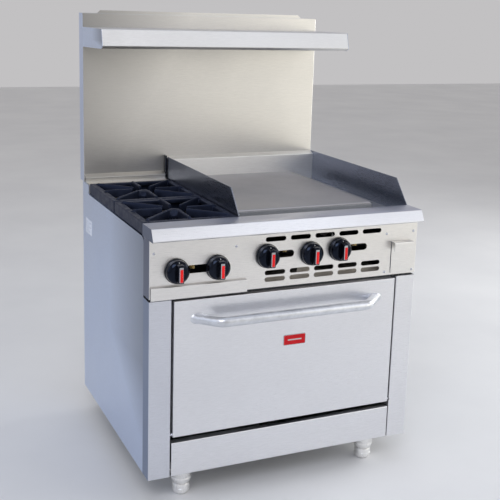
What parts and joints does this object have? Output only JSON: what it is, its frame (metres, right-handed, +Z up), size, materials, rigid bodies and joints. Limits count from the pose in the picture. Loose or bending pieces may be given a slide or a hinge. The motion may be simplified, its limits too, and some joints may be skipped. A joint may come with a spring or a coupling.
{
  "type": "gas range",
  "caption": "Restaurant gas range with open burners and a griddle over an oven, on legs, with a riser and high shelf behind.",
  "frame": {"origin": "centre of the range's footprint, on the floor", "axes": "+X to the right seen from the front, +Y to the back, +Z up"},
  "size_m": [0.914, 0.8884, 1.475],
  "materials": {
    "stainless_front": "number 4 brushed stainless sheet",
    "stainless_side": "number 4 brushed stainless sheet",
    "sheet_inner": "galvanised and aluminised sheet",
    "griddle_steel": "ground and polished steel plate",
    "cast_iron": "raw cast iron with a thin black coat",
    "burner_tube": "aluminised steel tube",
    "screw_steel": "plain bright steel",
    "handle_steel": "polished stainless tube",
    "badge_red": "red enamelled plate with a bright rim",
    "wool": "mineral wool batt",
    "enamel": "dark porcelain enamel on steel",
    "rack_wire": "nickel-plated wire",
    "leg_metal": "satin nickel-plated steel",
    "pipe_black": "black steel gas pipe",
    "brass": "turned brass",
    "aluminium_tube": "plain aluminium",
    "knob_black": "glossy black phenolic"
  },
  "bodies": {
    "cabinet": {"back_panel": "sheet_inner", "base_pan": "sheet_inner", "bay_divider": "sheet_inner", "bay_rails": "sheet_inner", "burner_castings": "cast_iron", "burner_heads": "cast_iron", "control_panel": "stainless_front", "front_ledge": "stainless_front", "gas_pipe": "pipe_black", "gas_valves": "brass", "grease_gutter": "sheet_inner", "griddle_burners": "burner_tube", "griddle_frame": "sheet_inner", "griddle_plate": "griddle_steel", "high_shelf": "stainless_front", "hinge_brackets": "sheet_inner", "kick_panel": "stainless_front", "legs": "leg_metal", "orifice_tubes": "aluminium_tube", "oven_burner": "burner_tube", "oven_deck": "enamel", "oven_gas_tube": "aluminium_tube", "oven_insulation": "wool", "oven_jacket": "sheet_inner", "oven_liner": "enamel", "oven_thermostat": "aluminium_tube", "panel_screws": "screw_steel", "pilot_valves": "brass", "rack_guides": "rack_wire", "rear_rail": "stainless_front", "riser_back": "sheet_inner", "riser_front": "stainless_front", "shelf_ends": "stainless_side", "side_panel_left": "stainless_side", "side_panel_right": "stainless_side", "splash_back": "stainless_front", "splash_guard_left": "stainless_front", "splash_guard_right": "stainless_front", "stile_left": "stainless_front", "stile_right": "stainless_front"},
    "door": {"door_outer": "stainless_front", "door_inner": "sheet_inner", "door_insulation": "wool", "door_handle": "handle_steel", "door_badge": "badge_red", "hinge_pins": "screw_steel"},
    "knob_burner_left": {"knob_burner_left": "knob_black"},
    "knob_burner_right": {"knob_burner_right": "knob_black"},
    "knob_griddle_left": {"knob_griddle_left": "knob_black"},
    "knob_oven": {"knob_oven": "knob_black"},
    "knob_griddle_right": {"knob_griddle_right": "knob_black"},
    "drip_tray": {"drip_tray": "stainless_front"},
    "grease_drawer": {"grease_drawer": "stainless_front"},
    "grate_front": {"grate_front": "cast_iron"},
    "grate_rear": {"grate_rear": "cast_iron"},
    "oven_rack": {"oven_rack": "rack_wire"},
    "foot_left_front": {"foot_left_front": "leg_metal"},
    "foot_left_rear": {"foot_left_rear": "leg_metal"},
    "foot_right_front": {"foot_right_front": "leg_metal"},
    "foot_right_rear": {"foot_right_rear": "leg_metal"}
  },
  "joints": [
    {"name": "door_hinge", "type": "hinge", "parent": "cabinet", "child": "door", "pos_m": [0, -0.36275, 0.224], "axis": [1, 0, 0], "range_deg": [0, 90], "stiffness_Nm_per_rad": 6, "springref_deg": -17.19},
    {"name": "knob_burner_left_turn", "type": "hinge", "parent": "cabinet", "child": "knob_burner_left", "pos_m": [-0.374, -0.37375, 0.741], "axis": [0, -1, 0], "range_deg": [0, 90]},
    {"name": "knob_burner_right_turn", "type": "hinge", "parent": "cabinet", "child": "knob_burner_right", "pos_m": [-0.2455, -0.37375, 0.7415], "axis": [0, -1, 0], "range_deg": [0, 90]},
    {"name": "knob_griddle_left_turn", "type": "hinge", "parent": "cabinet", "child": "knob_griddle_left", "pos_m": [-0.083, -0.37375, 0.762], "axis": [0, -1, 0], "range_deg": [0, 90]},
    {"name": "knob_oven_turn", "type": "hinge", "parent": "cabinet", "child": "knob_oven", "pos_m": [0.0665, -0.37375, 0.758], "axis": [0, -1, 0], "range_deg": [0, 270]},
    {"name": "knob_griddle_right_turn", "type": "hinge", "parent": "cabinet", "child": "knob_griddle_right", "pos_m": [0.166, -0.37375, 0.7635], "axis": [0, -1, 0], "range_deg": [0, 90]},
    {"name": "drip_tray_slide", "type": "slide", "parent": "cabinet", "child": "drip_tray", "axis": [0, -1, 0], "range_m": [0, 0.5]},
    {"name": "grease_drawer_slide", "type": "slide", "parent": "cabinet", "child": "grease_drawer", "axis": [0, -1, 0], "range_m": [0, 0.34]},
    {"name": "grate_front_lift", "type": "slide", "parent": "cabinet", "child": "grate_front", "axis": [0, 0, 1], "range_m": [0, 0.12]},
    {"name": "grate_rear_lift", "type": "slide", "parent": "cabinet", "child": "grate_rear", "axis": [0, 0, 1], "range_m": [0, 0.12]},
    {"name": "oven_rack_slide", "type": "slide", "parent": "cabinet", "child": "oven_rack", "axis": [0, -1, 0], "range_m": [0, 0.044]},
    {"name": "foot_left_front_screw", "type": "slide", "parent": "cabinet", "child": "foot_left_front", "axis": [0, 0, -1], "range_m": [0, 0.02]},
    {"name": "foot_left_rear_screw", "type": "slide", "parent": "cabinet", "child": "foot_left_rear", "axis": [0, 0, -1], "range_m": [0, 0.02]},
    {"name": "foot_right_front_screw", "type": "slide", "parent": "cabinet", "child": "foot_right_front", "axis": [0, 0, -1], "range_m": [0, 0.02]},
    {"name": "foot_right_rear_screw", "type": "slide", "parent": "cabinet", "child": "foot_right_rear", "axis": [0, 0, -1], "range_m": [0, 0.02]}
  ]
}
